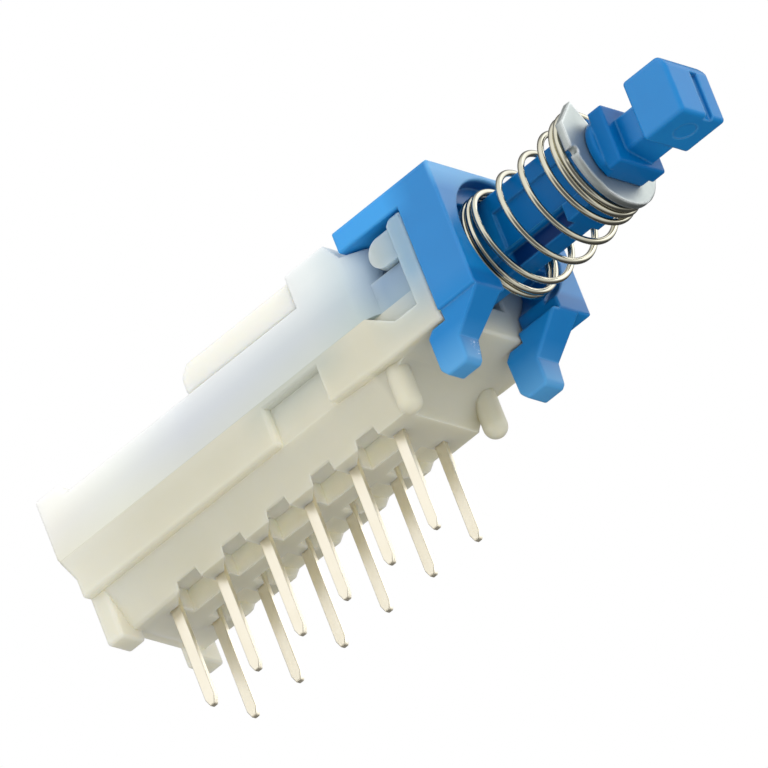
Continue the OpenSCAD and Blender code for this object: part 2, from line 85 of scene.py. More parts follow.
# Light tent: its brightest direction by the camera's axes, and its tones from 0, the darkest side, to 1
TENT_LEAN = 0.25
TENT_FRONT = 0.6
TENT_TONES = [(0.0, 0.3), (1.0, 1.25), (0.15, 0.4), (0.3, 0.71), (0.5, 0.97), (0.75, 1.1)]

# Seen in reflections only: a dark card below, the dark lens and a lamp, with the cosines of their edges
CARD_DROP = 0.6
CARD_EDGE = (0.0, 0.4)
CARD_TONE = 0.2
LENS_EDGE = (0.55, 0.85)
LENS_TONE = 0.15
LAMP_EDGE = (0.8, 0.95)
LAMP_TONE = 1.25

# Clean-up of the frame's meshes in millimetres, with the exact cut in metres, as its operator takes it
MERGE_DISTANCE = 0.0005
FLAT_DEGREES = 0.5
CUT_EXACT = 1e-7
TINY = 0.004

# Rounding of the moulded and stamped edges, and how it eases off where it would turn a face over
EDGE_STEPS = 5
SHARP_DEGREES = 28
SMOOTH_DEGREES = 24
FOLD_DEGREES = 150
ROUNDING_TRIES = 24
CROWD_REACH = 1.4
CROWD_MARGIN = 0.02
EASED = 0.7
LEAST_SHARE = 0.06

# Height of the joint of base and cover, in millimetres, and how far from it the nylon turns milky
JOINT_Z = 4.2
JOINT_FADE = (0.05, 0.7)

# Relief of the grain on mouldings and metals, in millimetres, and the samples of the shading nodes
MOULDED_RELIEF = 0.02
METAL_RELIEF = 0.01
SHADE_SAMPLES = 8
SOFT_SAMPLES = 6


def linear(code):
    """An sRGB hex colour as linear red, green, blue and alpha."""
    parts = [int(code[i:i + 2], 16) / 255 for i in (1, 3, 5)]
    return tuple(p / 12.92 if p <= 0.04045 else ((p + 0.055) / 1.055) ** 2.4 for p in parts) + (1.0,)


def per_mm(size):
    """The scale of a pattern whose features are that many millimetres across."""
    return 1 / (size * MM)


def add(tree, kind, inputs=None, stops=(), **settings):
    """Adds a node; an input is a value or another node's output, and a ramp's two ends come first in stops."""
    made = tree.nodes.new("ShaderNode" + kind)
    for name, value in settings.items():
        setattr(made, name, value)
    for name, value in (inputs or {}).items():
        if isinstance(value, bpy.types.NodeSocket):
            tree.links.new(value, made.inputs[name])
        else:
            made.inputs[name].default_value = value
    for i, (place, color) in enumerate(stops):
        stop = made.color_ramp.elements[i] if i < 2 else made.color_ramp.elements.new(place)
        stop.position = place
        stop.color = color
    return made


def new_material(name):
    """An empty material with its node tree."""
    made = bpy.data.materials.new(name)
    made.use_nodes = True
    made.node_tree.nodes.clear()
    return made, made.node_tree


def close_with(tree, **sockets):
    """Ends a tree in one Principled shader; socket names have an underscore for each space."""
    named = {name.replace("_", " "): value for name, value in sockets.items()}
    shader = add(tree, "BsdfPrincipled", named)
    add(tree, "OutputMaterial", {"Surface": shader.outputs[0]})


def zone(tree, axes, spans, most=1.0):
    """The share of a zone: each span is an axis, where it starts and where it is full, in millimetres."""
    share = most
    for axis, start, full in spans:
        along = add(tree, "MapRange", {0: axes.outputs[axis], 1: start * MM, 2: full * MM})
        share = add(tree, "Math", {0: share, 1: along.outputs[0]}, operation="MULTIPLY").outputs[0]
    return share


def tinted(tree, color, tints):
    """A colour with tints laid over it one after another, each by its share."""
    for share, code in tints:
        color = add(tree, "Mix", {0: share, 6: color, 7: linear(code)}, data_type="RGBA").outputs[2]
    return color


def milky(tree, axes, most):
    """How much light goes into nylon: less beside the joint, where it would be lost between the pieces."""
    above = add(tree, "Math", {0: axes.outputs["Z"], 1: JOINT_Z * MM}, operation="SUBTRACT")
    away = add(tree, "Math", {0: above.outputs[0]}, operation="ABSOLUTE")
    near, far = JOINT_FADE
    return add(tree, "MapRange", {0: away.outputs[0], 1: near * MM, 2: far * MM, 4: most}).outputs[0]


# Natural nylon: its patterns and zones in millimetres, the painted light in its pockets and its other painted
# light and shade, and its finish
NYLON_CLOUD = 3
NYLON_GRAIN = 0.14
NYLON_ROUGH = (0.40, 0.52)
NYLON_BUMP = 0.08
NYLON_MILKY = 0.9
NYLON_DEPTH = 1.1
POCKET_REACH = 1.4
POCKET_SHADE = (0.25, 0.95)
POCKETS = [("X", 7.4, 7.2)]
# Painted light: a blue cast of the blue front on the nylon near it
PAINTED_BLUE_CAST = [("X", 8.0, 10.9), ("Z", 1.8, 4.6)]
# Painted shade: the recess between the panels is tinted a darker grey
PANEL_GAP_SHADE = [("X", 0.8, 2.4), ("X", 7.2, 5.6), ("Z", 2.6, 3.8)]
PANEL_GAP_SHADE_MOST = 0.6
# Painted light: the rear end is tinted paler
REAR_END_LIGHT = [("X", -4.5, -8.5)]
REAR_END_LIGHT_MOST = 0.7
# Painted light: the top of the cap is tinted paler
CAP_TOP_LIGHT = [("Z", 6.4, 6.8), ("X", 9.2, 8.8)]


# Natural nylon, moulded: milky cream and satin, with painted light in its pockets, a painted blue cast where
# it stands against the blue front, painted shade in the recess between the panels, and painted light that
# makes its rear end and the cap's top paler
def natural_nylon():
    made, tree = new_material("natural_nylon_moulded")
    place = add(tree, "TexCoord").outputs["Object"]
    axes = add(tree, "SeparateXYZ", {0: place})
    cloud = add(tree, "TexNoise", {"Vector": place, "Scale": per_mm(NYLON_CLOUD), "Detail": 3})
    grain = add(tree, "TexNoise", {"Vector": place, "Scale": per_mm(NYLON_GRAIN), "Detail": 2})
    shade = add(tree, "AmbientOcclusion", {"Distance": POCKET_REACH * MM}, only_local=True,
                samples=SHADE_SAMPLES)
    depth = add(tree, "MapRange", {0: shade.outputs["AO"], 1: POCKET_SHADE[0], 2: POCKET_SHADE[1],
                                   3: 1.0, 4: 0.0})
    # Painted light: pockets that ambient occlusion finds, short of the front, are tinted pale
    painted_pocket_light = add(tree, "Math", {0: depth.outputs[0], 1: zone(tree, axes, POCKETS)}, operation="MULTIPLY")
    # The tints: painted pocket light, a painted blue cast, painted gap shade, painted light on rear end and
    # cap top
    color = tinted(tree, linear("#CDCAB5"), [
        (cloud.outputs[0], "#D4D1BF"),
        (painted_pocket_light.outputs[0], "#FFFAE8"),
        (zone(tree, axes, PAINTED_BLUE_CAST), "#8FAEC4"),
        (zone(tree, axes, PANEL_GAP_SHADE, PANEL_GAP_SHADE_MOST), "#B2BAB2"),
        (zone(tree, axes, REAR_END_LIGHT, REAR_END_LIGHT_MOST), "#E2E0D2"),
        (zone(tree, axes, CAP_TOP_LIGHT), "#EFEEE4"),
    ])
    rough = add(tree, "MapRange", {0: cloud.outputs[0], 3: NYLON_ROUGH[0], 4: NYLON_ROUGH[1]})
    bump = add(tree, "Bump", {"Strength": NYLON_BUMP, "Distance": MOULDED_RELIEF * MM,
                              "Height": grain.outputs[0]})
    close_with(tree, Base_Color=color, Roughness=rough.outputs[0], Normal=bump.outputs[0], IOR=1.53,
               Specular_IOR_Level=0.4, Subsurface_Weight=milky(tree, axes, NYLON_MILKY),
               Subsurface_Radius=(1.0, 0.9, 0.7), Subsurface_Scale=NYLON_DEPTH * MM)
    return made


# White nylon: its patterns and zones in millimetres, and its finish
COVER_CLOUD = 4
COVER_GRAIN = 0.14
COVER_ROUGH = (0.36, 0.48)
COVER_BUMP = 0.06
COVER_MILKY = 0.8
COVER_DEPTH = 0.8
COVER_BLUE_CAST_LENGTH = [("X", -9.2, 9.2)]
COVER_LIGHT_HEIGHT = [("Z", JOINT_Z, 8.1)]
COVER_PATCH = (0.35, 0.75)
COVER_PATCH_MOST = 0.12
# Painted light: the lid is tinted paler
COVER_LID_LIGHT = [("Z", 5.6, 7.2), ("X", 9.0, 6.5)]
COVER_LID_LIGHT_MOST = 0.45


# White nylon, moulded: thin and milky, with a painted cool tint that stands for the blue slider's light
# through it, and a painted lighter top and lid
def cover_nylon():
    made, tree = new_material("white_nylon_moulded")
    place = add(tree, "TexCoord").outputs["Object"]
    axes = add(tree, "SeparateXYZ", {0: place})
    cloud = add(tree, "TexNoise", {"Vector": place, "Scale": per_mm(COVER_CLOUD), "Detail": 3})
    grain = add(tree, "TexNoise", {"Vector": place, "Scale": per_mm(COVER_GRAIN), "Detail": 2})
    # Painted light: a cool blue cast of the slider inside, from cream at the rear to blue at the front
    along = add(tree, "ValToRGB", {0: zone(tree, axes, COVER_BLUE_CAST_LENGTH)}, stops=[
        (0.0, linear("#F4F1E6")), (1.0, linear("#93AEC8")), (0.2, linear("#EFF0E8")),
        (0.42, linear("#DEE1E3")), (0.8, linear("#D6DCDD")), (0.92, linear("#C4D2D6"))])
    # Painted light: paler from the joint up to the top of the cover
    lit = add(tree, "ValToRGB", {0: zone(tree, axes, COVER_LIGHT_HEIGHT)}, stops=[
        (0.0, linear("#EDEDE4")), (1.0, linear("#FFFFFF")), (0.3, linear("#F0F1F3")),
        (0.6, linear("#FCFDFF"))])
    body = add(tree, "Mix", {0: 1.0, 6: along.outputs[0], 7: lit.outputs[0]}, data_type="RGBA",
               blend_type="MULTIPLY")
    patch = add(tree, "MapRange", {0: cloud.outputs[0], 1: COVER_PATCH[0], 2: COVER_PATCH[1],
                                   4: COVER_PATCH_MOST})
    color = tinted(tree, body.outputs[2], [
        (patch.outputs[0], "#DCE1E6"),
        (zone(tree, axes, COVER_LID_LIGHT, COVER_LID_LIGHT_MOST), "#FAFCF8"),
    ])
    rough = add(tree, "MapRange", {0: cloud.outputs[0], 3: COVER_ROUGH[0], 4: COVER_ROUGH[1]})
    bump = add(tree, "Bump", {"Strength": COVER_BUMP, "Distance": MOULDED_RELIEF * MM,
                              "Height": grain.outputs[0]})
    close_with(tree, Base_Color=color, Roughness=rough.outputs[0], Normal=bump.outputs[0], IOR=1.53,
               Specular_IOR_Level=0.4, Subsurface_Weight=milky(tree, axes, COVER_MILKY),
               Subsurface_Radius=(1.0, 1.0, 1.0), Subsurface_Scale=COVER_DEPTH * MM)
    return made


# Blue acetal: its patterns and zones in millimetres
BLUE_CLOUD = 2.5
BLUE_GRAIN = 0.1
BLUE_NICKS = 0.16
BLUE_DEPTH = 0.4
# Painted shade, a duller gloss and fainter painted edge light go on the stem behind the head
STEM = [("X", 13.5, 13.7), ("X", 21.4, 20.4)]
# Painted shade: the grooves at the keel's sides are tinted dark
KEEL_SIDE_SHADE = [("X", 13.5, 13.7), ("X", 17.0, 16.9), ("Y", 0.58, 0.55), ("Y", -0.58, -0.55), ("Z", 4.36, 4.34),
              ("Z", 3.58, 3.62)]
# Painted light: the thin rear arm is tinted a lighter blue
REAR_ARM_LIGHT = [("X", 12.2, 10.8), ("Z", 6.6, 7.4)]
# Painted highlight: the crest of the front face is tinted pale blue
FRONT_CREST_HIGHLIGHT = [("X", 13.2, 13.38), ("Z", 6.9, 7.9)]
FRONT_CREST_HIGHLIGHT_MOST = 0.75
# The hooks, whose forward faces get painted shade
HOOKS = [("Z", 3.3, 3.0)]
HOOK_TOES = [("Z", 1.6, 0.2)]
HOOK_TOES_MOST = 0.6
SCUFFED_TOE = [("Y", -2.7, -2.3), ("Y", -1.4, -1.7), ("Z", 1.05, 0.9), ("Z", 0.25, 0.45)]
DULL_FEET = [("Z", 3.4, 2.6)]
DULL_FEET_MOST = 0.5
DULL_END = [("X", 23.4, 23.6)]
DULL_END_MOST = 0.7

# Blue acetal: the painted shade of its hollows and forward faces, the painted light on its edges, its nicks
# and its finish
HOLLOW_REACH = 1.2
HOLLOW_SHADE = (0.15, 0.75)
HOLLOW_MOST = 0.85
HEAD_HOLLOW_MOST = 0.2
HEAD_BEGINS = (21.2, 21.6)
EDGE_REACH = 0.16
EDGE_TURN = (1.0, 0.88)
EDGE_MOST = 0.6
STEM_EDGE_MOST = 0.25
FORWARD_FACES = (0.5, 0.9)
FORWARD_MOST = 0.6
NICK_LEVELS = (0.54, 0.62)
NICK_MOST = 0.8
NICK_TWIST = 1.2
BLUE_ROUGH = (0.26, 0.36)
BLUE_BUMP = 0.05
BLUE_SPECULAR = (0.5, 0.14)


# Blue acetal, moulded: slick and slightly clear, with painted light on its edges and thin places, and painted
# shade on its stem, hollows, keel sides and hooks' forward faces
def blue_acetal():
    made, tree = new_material("blue_acetal_moulded")
    place = add(tree, "TexCoord").outputs["Object"]
    axes = add(tree, "SeparateXYZ", {0: place})
    cloud = add(tree, "TexNoise", {"Vector": place, "Scale": per_mm(BLUE_CLOUD), "Detail": 3})
    grain = add(tree, "TexNoise", {"Vector": place, "Scale": per_mm(BLUE_GRAIN), "Detail": 2})
    # Painted shade: hollows that ambient occlusion finds are tinted dark blue, only faintly on the head
    shade = add(tree, "AmbientOcclusion", {"Distance": HOLLOW_REACH * MM}, samples=SHADE_SAMPLES)
    most = add(tree, "MapRange", {0: axes.outputs["X"], 1: HEAD_BEGINS[0] * MM, 2: HEAD_BEGINS[1] * MM,
                                  3: HOLLOW_MOST, 4: HEAD_HOLLOW_MOST})
    hollow = add(tree, "MapRange", {0: shade.outputs["AO"], 1: HOLLOW_SHADE[0], 2: HOLLOW_SHADE[1],
                                    3: most.outputs[0], 4: 0.0})
    # Painted shade: the stem is tinted a darker blue
    stem = zone(tree, axes, STEM)
    true = add(tree, "NewGeometry")
    facing = add(tree, "SeparateXYZ", {0: true.outputs["Normal"]})
    # Painted shade: the hooks' faces that point forward are tinted darker
    forward = add(tree, "MapRange", {0: facing.outputs["X"], 1: FORWARD_FACES[0], 2: FORWARD_FACES[1],
                                     4: FORWARD_MOST})
    shaded_shins = add(tree, "Math", {0: forward.outputs[0], 1: zone(tree, axes, HOOKS)}, operation="MULTIPLY")
    nicks = add(tree, "TexNoise", {"Vector": place, "Scale": per_mm(BLUE_NICKS), "Detail": 5,
                                   "Distortion": NICK_TWIST})
    nicked = add(tree, "MapRange", {0: nicks.outputs[0], 1: NICK_LEVELS[0], 2: NICK_LEVELS[1], 4: NICK_MOST})
    scuff = add(tree, "Math", {0: nicked.outputs[0], 1: zone(tree, axes, SCUFFED_TOE)}, operation="MULTIPLY")
    # Painted highlight: a pale blue along the edges, weaker on the stem
    soft = add(tree, "Bevel", {"Radius": EDGE_REACH * MM}, samples=SOFT_SAMPLES)
    turn = add(tree, "VectorMath", {0: soft.outputs[0], 1: true.outputs["Normal"]}, operation="DOT_PRODUCT")
    bright = add(tree, "MapRange", {0: stem, 3: EDGE_MOST, 4: STEM_EDGE_MOST})
    edge = add(tree, "MapRange", {0: turn.outputs["Value"], 1: EDGE_TURN[0], 2: EDGE_TURN[1],
                                  4: bright.outputs[0]})
    color = tinted(tree, linear("#0878BC"), [
        (cloud.outputs[0], "#0E84CA"),
        (hollow.outputs[0], "#00489A"),
        (stem, "#0067A9"),
        (zone(tree, axes, REAR_ARM_LIGHT), "#2C9CE4"),
        (zone(tree, axes, KEEL_SIDE_SHADE), "#002C64"),
        (zone(tree, axes, FRONT_CREST_HIGHLIGHT, FRONT_CREST_HIGHLIGHT_MOST), "#74BCEE"),
        (shaded_shins.outputs[0], "#005A9E"),
        (zone(tree, axes, HOOK_TOES, HOOK_TOES_MOST), "#6AB2E2"),
        (scuff.outputs[0], "#E4F0FA"),
        (edge.outputs[0], "#5AAAE8"),
    ])
    dull = stem
    for spans, share in ((DULL_FEET, DULL_FEET_MOST), (DULL_END, DULL_END_MOST)):
        dull = add(tree, "Math", {0: dull, 1: zone(tree, axes, spans, share)}, operation="MAXIMUM").outputs[0]
    gloss = add(tree, "MapRange", {0: dull, 3: BLUE_SPECULAR[0], 4: BLUE_SPECULAR[1]})
    rough = add(tree, "MapRange", {0: cloud.outputs[0], 3: BLUE_ROUGH[0], 4: BLUE_ROUGH[1]})
    bump = add(tree, "Bump", {"Strength": BLUE_BUMP, "Distance": MOULDED_RELIEF * MM,
                              "Height": grain.outputs[0], "Normal": soft.outputs[0]})
    close_with(tree, Base_Color=color, Roughness=rough.outputs[0], Normal=bump.outputs[0], IOR=1.5,
               Specular_IOR_Level=gloss.outputs[0], Subsurface_Weight=0.2, Subsurface_Radius=(0.3, 0.7, 1.0),
               Subsurface_Scale=BLUE_DEPTH * MM)
    return made


# Tin-plated brass: its patterns and zones in millimetres, and its finish
DRAW_LINES = 0.05
DRAW_STRETCH = 0.06
BRASS_CLOUD = 1.2
BRASS_ROUGH = (0.24, 0.38)
BRASS_BUMP = 0.06
CUT_TIPS = [("Z", -3.92, -3.97)]
CUT_ROUGHER = 0.4


# Brass blade, tin plated: pale gold, with faint draw lines along the blade and dull cut tips
def plated_brass():
    made, tree = new_material("brass_tin_plated")
    place = add(tree, "TexCoord").outputs["Object"]
    axes = add(tree, "SeparateXYZ", {0: place})
    stretched = add(tree, "Mapping", {"Vector": place, "Scale": (1, 1, DRAW_STRETCH)})
    lines = add(tree, "TexNoise", {"Vector": stretched.outputs[0], "Scale": per_mm(DRAW_LINES), "Detail": 2})
    cloud = add(tree, "TexNoise", {"Vector": place, "Scale": per_mm(BRASS_CLOUD), "Detail": 3})
    color = tinted(tree, linear("#F0E8D2"), [(cloud.outputs[0], "#FAF4E4")])
    drawn = add(tree, "MapRange", {0: lines.outputs[0], 3: BRASS_ROUGH[0], 4: BRASS_ROUGH[1]})
    cut = zone(tree, axes, CUT_TIPS, CUT_ROUGHER)
    rough = add(tree, "Math", {0: drawn.outputs[0], 1: cut}, operation="ADD")
    bump = add(tree, "Bump", {"Strength": BRASS_BUMP, "Distance": METAL_RELIEF * MM,
                              "Height": lines.outputs[0]})
    close_with(tree, Base_Color=color, Metallic=1.0, Roughness=rough.outputs[0], Normal=bump.outputs[0])
    return made


# Other metals: their patterns in millimetres, and their finish
WIRE_CLOUD = 0.8
WIRE_ROUGH = (0.08, 0.16)
ZINC_CLOUD = 1.0
ZINC_GRAIN = 0.08
ZINC_ROUGH = (0.42, 0.58)
ZINC_BUMP = 0.12
ZINC_EDGE_REACH = 0.22
ZINC_EDGE_TURN = (1.0, 0.85)
ZINC_EDGE_MOST = 0.95
BRONZE_CLOUD = 0.6
BRONZE_ROUGH = (0.28, 0.42)


# Drawn spring wire, nickel plated: polished warm grey, which mirrors what is round it in streaks
def spring_wire():
    made, tree = new_material("spring_wire_nickel_plated")
    place = add(tree, "TexCoord").outputs["Object"]
    cloud = add(tree, "TexNoise", {"Vector": place, "Scale": per_mm(WIRE_CLOUD), "Detail": 3})
    color = tinted(tree, linear("#BEBAA6"), [(cloud.outputs[0], "#DCD9C8")])
    rough = add(tree, "MapRange", {0: cloud.outputs[0], 3: WIRE_ROUGH[0], 4: WIRE_ROUGH[1]})
    close_with(tree, Base_Color=color, Metallic=1.0, Roughness=rough.outputs[0])
    return made


# Stamped steel, zinc plated: satin grey with a faint grainy bloom, and a painted highlight that makes its
# edges near white
def zinc_plate():
    made, tree = new_material("steel_zinc_plated")
    place = add(tree, "TexCoord").outputs["Object"]
    cloud = add(tree, "TexNoise", {"Vector": place, "Scale": per_mm(ZINC_CLOUD), "Detail": 4})
    grain = add(tree, "TexNoise", {"Vector": place, "Scale": per_mm(ZINC_GRAIN), "Detail": 2})
    # Painted highlight: near white along the edges
    soft = add(tree, "Bevel", {"Radius": ZINC_EDGE_REACH * MM}, samples=SOFT_SAMPLES)
    true = add(tree, "NewGeometry")
    turn = add(tree, "VectorMath", {0: soft.outputs[0], 1: true.outputs["Normal"]}, operation="DOT_PRODUCT")
    edge = add(tree, "MapRange", {0: turn.outputs["Value"], 1: ZINC_EDGE_TURN[0], 2: ZINC_EDGE_TURN[1],
                                  4: ZINC_EDGE_MOST})
    color = tinted(tree, linear("#A6AEAC"), [(cloud.outputs[0], "#CBD1CE"), (edge.outputs[0], "#F8FCFC")])
    rough = add(tree, "MapRange", {0: grain.outputs[0], 3: ZINC_ROUGH[0], 4: ZINC_ROUGH[1]})
    bump = add(tree, "Bump", {"Strength": ZINC_BUMP, "Distance": METAL_RELIEF * MM,
                              "Height": grain.outputs[0], "Normal": soft.outputs[0]})
    close_with(tree, Base_Color=color, Metallic=1.0, Roughness=rough.outputs[0], Normal=bump.outputs[0])
    return made


# Stamped phosphor bronze: reddish gold with a dull rolled surface
def contact_bronze():
    made, tree = new_material("phosphor_bronze_stamped")
    place = add(tree, "TexCoord").outputs["Object"]
    cloud = add(tree, "TexNoise", {"Vector": place, "Scale": per_mm(BRONZE_CLOUD), "Detail": 3})
    color = tinted(tree, linear("#B98A50"), [(cloud.outputs[0], "#D2A66A")])
    rough = add(tree, "MapRange", {0: cloud.outputs[0], 3: BRONZE_ROUGH[0], 4: BRONZE_ROUGH[1]})
    close_with(tree, Base_Color=color, Metallic=1.0, Roughness=rough.outputs[0])
    return made


MATERIALS = {
    "natural_nylon": natural_nylon(), "cover_nylon": cover_nylon(), "blue_acetal": blue_acetal(),
    "plated_brass": plated_brass(), "spring_steel": spring_wire(), "zinc_steel": zinc_plate(),
    "contact_bronze": contact_bronze(),
}
SLOT_OF = {part["node"]: part["material_slot"] for part in frame["record"]["subparts"]}
BODY_OF = {node: body for body, nodes in frame["record"]["behaviour"]["bodies"].items() for node in nodes}


def activate(piece):
    """Makes a piece the only selected object."""
    bpy.ops.object.select_all(action="DESELECT")
    piece.select_set(True)
    bpy.context.view_layer.objects.active = piece


def joined_copy(node):
    """A copy of a node's mesh, with its loose triangles merged into whole flat faces."""
    data = frame["nodes"][node].data.copy()
    piece = bpy.data.objects.new(node + "_finished", data)
    scene.collection.objects.link(piece)
    activate(piece)
    bpy.ops.mesh.customdata_custom_splitnormals_clear()
    bpy.ops.object.mode_set(mode="EDIT")
    bpy.ops.mesh.select_all(action="SELECT")
    bpy.ops.mesh.remove_doubles(threshold=MERGE_DISTANCE * MM)
    bpy.ops.mesh.dissolve_limited(angle_limit=math.radians(FLAT_DEGREES))
    bpy.ops.object.mode_set(mode="OBJECT")
    return piece


def settle(piece, node):
    """Gives a finished piece its material, and lets it stand for the node on the node's body."""
    slot = SLOT_OF[node]
    piece.data.materials.clear()
    piece.data.materials.append(MATERIALS[slot])
    activate(piece)
    bpy.ops.object.shade_smooth_by_angle(angle=math.radians(SMOOTH_DEGREES))
    flats = piece.modifiers.new("true_flats", "WEIGHTED_NORMAL")
    flats.keep_sharp = True
    bpy.ops.object.modifier_apply(modifier=flats.name)
    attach(piece, BODY_OF[node])
    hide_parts(node)


def folded_places(data):
    """The corners of faces that a rounding has turned over."""
    mesh = bmesh.new()
    mesh.from_mesh(data)
    places = []
    for corners in mesh.calc_loop_triangles():
        a, b, c = (corner.vert.co for corner in corners)
        if (b - a).cross(c - a).dot(corners[0].face.normal) < -(TINY * MM) ** 2:
            places += [a.copy(), b.copy(), c.copy()]
    for edge in mesh.edges:
        folded = edge.is_manifold and abs(edge.calc_face_angle_signed()) > math.radians(FOLD_DEGREES)
        if folded and edge.calc_length() > TINY * MM:
            places += [corner.co.copy() for corner in edge.verts]
    mesh.free()
    return places


def distance(place, first, last):
    """How far a place is from a straight edge."""
    foot, share = intersect_point_line(place, first, last)
    nearest = first if share < 0 else last if share > 1 else foot
    return (place - nearest).length


def bevel(piece, width, limit):
    """Adds a rounding of that many millimetres to a piece, and applies it."""
    rounding = piece.modifiers.new("rounding", "BEVEL")
    rounding.limit_method = limit
    rounding.angle_limit = math.radians(SHARP_DEGREES)
    rounding.width = width * MM
    rounding.segments = EDGE_STEPS
    rounding.use_clamp_overlap = False
    activate(piece)
    bpy.ops.object.modifier_apply(modifier=rounding.name)


def round_edges(piece, width, share_at):
    """Rounds the sharp outer edges by their share of the width, and by less where that turns a face over."""
    plain = piece.data
    mesh = bmesh.new()
    mesh.from_mesh(plain)
    ends = {}
    shares = {}
    for edge in mesh.edges:
        if edge.is_manifold and edge.calc_face_angle_signed() > math.radians(SHARP_DEGREES):
            first, last = (corner.co.copy() for corner in edge.verts)
            ends[edge.index] = (first, last)
            shares[edge.index] = share_at((first + last) / 2 / MM, (last - first) / MM)
    mesh.free()
    for _ in range(ROUNDING_TRIES):
        piece.data = plain.copy()
        weights = piece.data.attributes.new("bevel_weight_edge", "FLOAT", "EDGE")
        for index, share in shares.items():
            weights.data[index].value = share
        bevel(piece, width, "WEIGHT")
        places = folded_places(piece.data)
        crowded = set()
        for index, share in shares.items():
            reach = (CROWD_REACH * width * share + CROWD_MARGIN) * MM
            if share > 0 and any(distance(place, *ends[index]) < reach for place in places):
                crowded.add(index)
        if not crowded:
            break
        for index in crowded:
            shares[index] = shares[index] * EASED if shares[index] > LEAST_SHARE else 0.0
    bpy.data.meshes.remove(plain)


# Places that tell the mouldings' edges apart, in millimetres
JOINT_NEAR = 0.1
OUTER_Y = 3.2
INNER_Y = 2.9
PLATE_BACK_X = 10.4
PLATE_FRONT_X = 10.6
NOSE_X = (7.6, 9.6)
NOSE_Z = 0.8
UNDERSIDE_Z = 2.1
COVER_REAR_X = -9.0
COVER_TOP_Z = 6.5
WINDOW_X = -1.5
WINDOW_Y = 2.0
WINDOW_Z = 6.7
LONG_RUN = 2
CAP_REAR_X = -0.8
SLIDER_X = 10.5
WASHER_X = 19.15
STEM_TOP_Z = 6.5
STEM_LOW_Z = 3.7
WASHER_FRONT_X = 19.1
WASHER_MID_Z = 5.2
WASHER_RIM_R = 2.236
BLADE_TOP_Z = 0.5

# Shares of the rounding where an edge is kept crisper
SEAM_SHARE = 0.15
CRISP_SHARE = 0.25


# Where each moulding's edges are rounded, by the edge's middle and its run in millimetres
def base_share(at, run):
    if at.z > JOINT_Z - JOINT_NEAR and at.x < PLATE_BACK_X:
        return SEAM_SHARE if abs(at.y) > OUTER_Y else 0.0
    if NOSE_X[0] < at.x < NOSE_X[1] and abs(at.y) < INNER_Y and at.z > NOSE_Z:
        return 0.0
    return 1.0 if at.x > PLATE_FRONT_X or abs(at.y) > INNER_Y or at.z < UNDERSIDE_Z else 0.0


def cover_share(at, run):
    outside = abs(at.y) > OUTER_Y or at.x < COVER_REAR_X or at.z > COVER_TOP_Z
    window = abs(at.y) < WINDOW_Y and at.z < WINDOW_Z and at.x > WINDOW_X
    if window or not outside:
        return 0.0
    seam = at.z < JOINT_Z + JOINT_NEAR and abs(run.x) > LONG_RUN
    return SEAM_SHARE if seam else 1.0


def cap_share(at, run):
    return 1.0 if abs(at.y) > OUTER_Y or at.x < CAP_REAR_X else 0.0


def plunger_share(at, run):
    if at.x < SLIDER_X:
        return 0.0
    if at.x < WASHER_X:
        return CRISP_SHARE if at.z > STEM_TOP_Z or at.z < STEM_LOW_Z else 0.0
    return 1.0 if at.x < HEAD_LOW[0] else 0.0


def washer_share(at, run):
    rim = math.hypot(at.y, at.z - WASHER_MID_Z) > WASHER_RIM_R
    return 1.0 if at.x > WASHER_FRONT_X and rim else CRISP_SHARE


def even_share(at, run):
    return 1.0


def blade_share(at, run):
    return 1.0 if at.z < BLADE_TOP_Z else 0.0


# Width of each node's rounding in millimetres, and where its edges take it
ROUNDINGS = {
    "base_housing": (0.15, base_share), "top_cover": (0.14, cover_share), "latch_cap": (0.2, cap_share),
    "front_bracket": (0.09, even_share), "spring_washer": (0.11, washer_share),
    "latch_spring": (0.03, even_share),
}
BLADE_ROUNDING = (0.04, blade_share)
CLIP_ROUNDING = (0.03, even_share)
for node in frame["nodes"]:
    if node.startswith("terminal_"):
        ROUNDINGS[node] = BLADE_ROUNDING
    elif node.startswith("contact_clip_"):
        ROUNDINGS[node] = CLIP_ROUNDING
for node, (width, share_at) in ROUNDINGS.items():
    piece = joined_copy(node)
    round_edges(piece, width, share_at)
    settle(piece, node)
settle(joined_copy("latch_pin"), "latch_pin")

# The plunger's head in millimetres, and how far the neck goes into it
HEAD_LOW = (21.45, -1.17, 4.15)
HEAD_HIGH = (23.65, 1.45, 6.9)
HEAD_CORNER = 0.5
HEAD_CHAMFER = (0.3, 0.45)
HEAD_ROUNDING = 0.17
SLOT_SIDES = (0.27, 0.69)
SLOT_DEEP = 0.22
SLOT_TOP = 6.3
MARK_R = 0.5
MARK_DEEP = 0.04
NECK_IN = 0.1
PLUNGER_ROUNDING = 0.1
CORNER_STEPS = 8
MARK_SIDES = 48
CORNER_NEAR = 0.01
CUT_OVERRUN = 1


def box_between(low, high):
    """A block between two corners in millimetres, with its place in the mesh."""
    bpy.ops.mesh.primitive_cube_add(size=1)
    block = bpy.context.object
    bpy.ops.object.mode_set(mode="EDIT")
    bpy.ops.transform.resize(value=[(b - a) * MM for a, b in zip(low, high)])
    bpy.ops.transform.translate(value=[(a + b) / 2 * MM for a, b in zip(low, high)])
    bpy.ops.object.mode_set(mode="OBJECT")
    return block


def cut_away(piece, tool):
    """Takes one piece out of another."""
    cut = piece.modifiers.new("cut", "BOOLEAN")
    cut.object = tool
    cut.solver = "EXACT"
    activate(piece)
    bpy.ops.object.modifier_apply(modifier=cut.name)
    bpy.data.objects.remove(tool)


